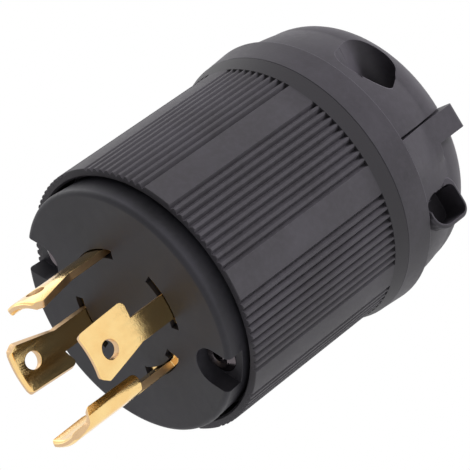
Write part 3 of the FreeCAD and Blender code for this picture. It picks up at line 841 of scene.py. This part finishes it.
# %% [markdown]
# ## Screws
# All the screws share one build. Geometry Nodes winds the thread: a spiral is swept with a three
# sided profile round a core. The domed head comes from the lathe, and its cross or its slot is cut
# with tools. A screw is drawn with its head towards -Y and its seat at the origin, then placed.

# %% Thread tree
def thread_tree():
    tree = bpy.data.node_groups.new("screw_thread", "GeometryNodeTree")
    face = tree.interface
    face.new_socket("Geometry", in_out="INPUT", socket_type="NodeSocketGeometry")
    sizes = {"Radius": 0.002, "Depth": 0.0003, "Pitch": 0.0007, "Start": 0.003, "Length": 0.01}
    for name, value in sizes.items():
        socket = face.new_socket(name, in_out="INPUT", socket_type="NodeSocketFloat")
        socket.default_value = value
    face.new_socket("Material", in_out="INPUT", socket_type="NodeSocketMaterial")
    face.new_socket("Geometry", in_out="OUTPUT", socket_type="NodeSocketGeometry")
    nodes, links = tree.nodes, tree.links
    size = nodes.new("NodeGroupInput").outputs

    def math_node(operation, first, second):
        node = nodes.new("ShaderNodeMath")
        node.operation = operation
        for index, value in enumerate((first, second)):
            if isinstance(value, (int, float)):
                node.inputs[index].default_value = value
            else:
                links.new(value, node.inputs[index])
        return node.outputs[0]

    core_radius = math_node("SUBTRACT", size["Radius"], size["Depth"])
    ridge = math_node("MULTIPLY", size["Depth"], 0.66)
    middle = math_node("ADD", core_radius, math_node("MULTIPLY", size["Depth"], 0.34))
    spiral = nodes.new("GeometryNodeCurveSpiral")
    spiral.inputs["Resolution"].default_value = 20
    links.new(math_node("DIVIDE", size["Length"], size["Pitch"]), spiral.inputs["Rotations"])
    links.new(middle, spiral.inputs["Start Radius"])
    links.new(middle, spiral.inputs["End Radius"])
    links.new(size["Length"], spiral.inputs["Height"])
    profile = nodes.new("GeometryNodeCurvePrimitiveCircle")
    profile.inputs["Resolution"].default_value = 4
    links.new(ridge, profile.inputs["Radius"])
    sweep = nodes.new("GeometryNodeCurveToMesh")
    sweep.inputs["Fill Caps"].default_value = True
    links.new(spiral.outputs[0], sweep.inputs["Curve"])
    links.new(profile.outputs[0], sweep.inputs["Profile Curve"])
    stand = nodes.new("GeometryNodeTransform")
    stand.inputs["Rotation"].default_value = (-math.pi / 2, 0, 0)
    shift = nodes.new("ShaderNodeCombineXYZ")
    links.new(size["Start"], shift.inputs["Y"])
    links.new(sweep.outputs[0], stand.inputs["Geometry"])
    links.new(shift.outputs[0], stand.inputs["Translation"])
    both = nodes.new("GeometryNodeJoinGeometry")
    links.new(stand.outputs[0], both.inputs[0])
    links.new(size["Geometry"], both.inputs[0])
    real = nodes.new("GeometryNodeRealizeInstances")
    links.new(both.outputs[0], real.inputs[0])
    finish = nodes.new("GeometryNodeSetMaterial")
    links.new(real.outputs[0], finish.inputs["Geometry"])
    links.new(size["Material"], finish.inputs["Material"])
    result = nodes.new("NodeGroupOutput")
    links.new(finish.outputs[0], result.inputs[0])
    return tree


thread = thread_tree()


# %% One screw
def screw(name, slot, head_radius, head_height, radius, length, pitch, thread_start, recess,
          turn_in_seat=0.0):
    """A screw with its seat at the origin, its head towards -Y and its shank towards +Y."""
    depth = 0.43 * pitch
    core = radius - depth
    crown = head_height * 0.55
    outline = [(0, -head_height), (head_radius * 0.45, -head_height),
               (head_radius * 0.92, -crown), (head_radius, -crown * 0.6), (head_radius, 0),
               (radius, 0), (radius, thread_start), (core, thread_start + 0.3),
               (core, length - 0.6), (core - 0.5, length), (0, length)]
    outline = rounded(outline, {1: head_radius * 0.6, 2: head_radius * 0.35, 4: 0.12}, 6)
    made = lathe(name, outline, 48)
    above_head = -head_height - 1
    if recess == "cross":
        reach, width, floor, narrowing = head_radius * 0.66, 0.45, -head_height + 1.3, 0.45
        tools = []
        for angle in (0.0, 90.0):
            arm = box_tool((-reach, above_head, -width), (reach, floor, width))
            for vertex in arm.data.vertices:
                if vertex.co.y > -head_height * MM:
                    vertex.co.x *= narrowing
            arm.data.transform(turned(angle + turn_in_seat))
            tools.append(arm)
    else:
        reach, width, floor = 6, 0.5, -head_height + 1.1
        tools = [box_tool((-reach, above_head, -width), (reach, floor, width), turn_in_seat)]
    cut(made, tools)
    values = {"Radius": radius * MM, "Depth": depth * MM, "Pitch": pitch * MM,
              "Start": (thread_start + 0.4) * MM, "Length": (length - thread_start - 1.2) * MM,
              "Material": materials[slot]}
    apply_tree(made, thread, values)
    return made


def place_screw(made, seat, head_direction):
    aim = Vector((0, -1, 0)).rotation_difference(Vector(head_direction)).to_matrix().to_4x4()
    made.data.transform(Matrix.Translation(Vector(seat) * MM) @ aim)


# %% [markdown]
# ## Placing the screws
# Two long screws hold the insulator, the barrel and the housing together. Two clamp screws draw
# the dome's halves together, four slotted screws grip the wires, and one holds the inner block.

# %% Make the screws
long_screws = []
towards_axis = 1.3
for angle in screw_angles:
    made = screw("long_screw", "zinc_steel", head_radius=2.75, head_height=1.4, radius=2.0,
                 length=47.3, pitch=0.9, thread_start=35.0, recess="cross", turn_in_seat=40.0)
    seat = turned(angle) @ Vector((0, pocket_depth, screw_circle - towards_axis))
    place_screw(made, seat, (0, -1, 0))
    long_screws.append(made)
finish_piece(join("long_screws", long_screws), "zinc_steel", "plug_body", ["assembly_screws"], 30.0)

split_angle = 86.5
to_clamp = turned(split_angle)
clamp_seat, clamp_screw_y, clamp_screw_offset = -6.4, 58.3, 21.75
for name, side in (("right", 1), ("left", -1)):
    made = screw("clamp_screw_" + name + "_plated", "zinc_steel", head_radius=2.85,
                 head_height=2.6, radius=1.5, length=18.0, pitch=0.6, thread_start=4.0,
                 recess="cross", turn_in_seat=15.0)
    seat = to_clamp @ Vector((clamp_seat, clamp_screw_y, side * clamp_screw_offset))
    place_screw(made, seat, to_clamp @ Vector((-1, 0, 0)))
    finish_piece(made, "zinc_steel", "clamp_screw_" + name, ["clamp_screw_" + name], 30.0)

terminal_angles = {"neutral": 0.0, "line_x": 90.0, "ground": 180.0, "line_y": 270.0}
for name, angle in terminal_angles.items():
    slot = slot_of["terminal_screw_" + name]
    made = screw("wire_screw_" + name, slot, head_radius=3.6, head_height=2.4, radius=2.0,
                 length=7.5, pitch=0.7, thread_start=1.7, recess="slot", turn_in_seat=90.0)
    seat = turned(angle) @ Vector((0, terminal_y, tail_outer))
    place_screw(made, seat, turned(angle) @ Vector((0, 0, 1)))
    finish_piece(made, slot, "terminal_screw_" + name, ["terminal_screw_" + name], 30.0)

block_end = 31.0
made = screw("block_screw_plated", "zinc_steel", head_radius=2.8, head_height=2.0, radius=1.5,
             length=26.0, pitch=0.6, thread_start=12.0, recess="slot")
place_screw(made, (0, block_end, 0), (0, 1, 0))
finish_piece(made, "zinc_steel", "plug_body", ["block_screw"], 30.0)

# %% [markdown]
# ## The dome
# The exact model joins the dome to the ring with one straight cone. The photographed dome stands a
# little inside the ring, so that the ring's rear edge shows as a step, and it swells before it
# turns over. Both halves are cut into narrow bands, and the points of the outer cone are drawn in
# to that curve, where the rims of the pockets and hoods follow. Beside the tongue on the fixed
# half the cone stays, and the skin rises evenly from it to the top of the tongue.

# %% Draw the dome in behind the ring
ring_end, dome_shoulder = 51.7, 61.1
ring_radius, dome_radius, foot_radius = 28.5, 26.3, 27.35
dome_bands = 14
from_clamp = to_clamp.inverted()
tongue_side, tongue_spread = 5.2, 5.2
tongue_foot, tongue_top, tongue_height, tongue_fade = 53.5, 60.6, 26.9, 4.0
skin_tolerance, near_top = 0.03, 20


def eased(share):
    share = min(1.0, max(0.0, share))
    return share * share * (3 - 2 * share)


def tongue_surface(place, radius):
    """Height of the dome's skin where it rises evenly to the top of the tongue."""
    skin = math.sqrt(radius * radius - place.x * place.x)
    rise = eased((place.y - tongue_foot) / (tongue_top - tongue_foot))
    fade = eased(1 - (place.x - tongue_side) / tongue_fade)
    return skin + max(0.0, tongue_height - skin) * rise * fade


def dome_half(name, node, body):
    """A copy of one half from the exact model, with its cone reshaped."""
    piece = bpy.data.objects.new(name, frame["nodes"][node].data.copy())
    bpy.context.scene.collection.objects.link(piece)
    shape = points_of(piece)
    bpy.data.objects.remove(piece)
    length = dome_shoulder - ring_end
    for band in range(1, dome_bands):
        slice_across(shape, (0, ring_end + length * band / dome_bands, 0), (0, 1, 0))
    bmesh.ops.triangulate(shape, faces=shape.faces)
    moved = raised = 0
    for vertex in shape.verts:
        share = (vertex.co.y - ring_end) / length
        cone = ring_radius + (dome_radius - ring_radius) * share
        radius = math.hypot(vertex.co.x, vertex.co.z)
        if not -0.01 < share < 0.99 or radius < cone - skin_tolerance:
            continue
        place = from_clamp @ vertex.co
        beside = place.z > 0 and place.x > 0
        full = eased((place.x - tongue_side) / tongue_spread) if beside else 1.0
        swell = dome_radius + (foot_radius - dome_radius) * (1 - share * share)
        skin = cone + full * (min(cone, swell) - cone)
        if radius < cone + skin_tolerance:
            vertex.co.x *= skin / radius
            vertex.co.z *= skin / radius
            moved += 1
        place = from_clamp @ vertex.co
        near_side = place.z > near_top and 0.1 < place.x < tongue_side + tongue_fade
        on_tongue = near_side and tongue_foot < place.y < tongue_top - 0.01
        if on_tongue and place.z < tongue_surface(place, skin):
            place.z = tongue_surface(place, skin)
            vertex.co = to_clamp @ place
            raised += 1
    bmesh.ops.dissolve_degenerate(shape, dist=1e-4, edges=shape.edges)
    made = object_from(name, shape)
    print("points drawn in:", moved, "and raised:", raised)
    finish_piece(made, "rear_plastic", body, [node], 28.0)


dome_half("dome_fixed_half", "clamp_base", "plug_body")
dome_half("dome_loose_half", "cord_clamp", "cord_clamp")

# %% [markdown]
# ## The floor and the light
# The plug is shown on pure white. The world is white to the camera, to reflections and through
# glass, and softer as a light, so that black plastic keeps its depth. The main soft lamp stands at
# the right, behind the plug and above it, and isn't seen in reflections. A wider and much weaker
# lamp stands at the left, above the plug.

# %% World and floor
world = bpy.data.worlds.new("studio")
bpy.context.scene.world = world
world.use_nodes = True
sky = world.node_tree
background = sky.nodes["Background"]


def seen_directly(tree):
    """1 for the camera, reflections and glass, and 0 for light that falls on a surface."""
    path = tree.nodes.new("ShaderNodeLightPath")
    factor = path.outputs["Is Camera Ray"]
    for name in ("Is Glossy Ray", "Is Transmission Ray"):
        larger = tree.nodes.new("ShaderNodeMath")
        larger.operation = "MAXIMUM"
        tree.links.new(factor, larger.inputs[0])
        tree.links.new(path.outputs[name], larger.inputs[1])
        factor = larger.outputs[0]
    first = spread(tree, path.outputs["Diffuse Depth"], 0.0, 1.0, 1.0, 0.0)
    unlit = tree.nodes.new("ShaderNodeMath")
    unlit.operation = "MULTIPLY"
    tree.links.new(factor, unlit.inputs[0])
    tree.links.new(first, unlit.inputs[1])
    return unlit.outputs[0]


light_on_surfaces, light_seen = 0.2, 1.0
strength = spread(sky, seen_directly(sky), 0.0, 1.0, light_on_surfaces, light_seen)
sky.links.new(strength, background.inputs["Strength"])
background.inputs["Color"].default_value = (1, 1, 1, 1)

floor_drop = 0.16
bpy.ops.mesh.primitive_plane_add(size=6.0, location=(0, 0, 0))
floor = bpy.context.object
floor.name = "floor"
floor.data.transform(Matrix.Translation((0, 0, -floor_drop)))
floor_white, floor_tree, floor_shader, _ = start_material("floor_white")
floor_shader.inputs["Base Color"].default_value = (0.9, 0.9, 0.9, 1)
floor_shader.inputs["Roughness"].default_value = 0.9
glow = floor_tree.nodes.new("ShaderNodeEmission")
blend = floor_tree.nodes.new("ShaderNodeMixShader")
output = floor_tree.nodes["Material Output"]
floor_tree.links.new(seen_directly(floor_tree), blend.inputs["Fac"])
floor_tree.links.new(floor_shader.outputs[0], blend.inputs[1])
floor_tree.links.new(glow.outputs[0], blend.inputs[2])
floor_tree.links.new(blend.outputs[0], output.inputs["Surface"])
dress(floor, floor_white)


# %% Lamps
def soft_lamp(name, place, size, power):
    lamp = bpy.data.lights.new(name, "AREA")
    lamp.shape = "SQUARE"
    lamp.size = size
    lamp.energy = power
    made = bpy.data.objects.new(name, lamp)
    bpy.context.scene.collection.objects.link(made)
    aim = (-Vector(place)).to_track_quat("-Z", "Y").to_matrix().to_4x4()
    made.matrix_world = Matrix.Translation(place) @ aim
    return made


main_lamp = soft_lamp("main_lamp", (0.40, 0.75, 0.33), 0.35, 10.0)
main_lamp.visible_glossy = False
soft_lamp("edge_lamp", (-0.55, 0.15, 0.60), 0.6, 1.0)
bpy.context.scene.view_settings.view_transform = "Standard"
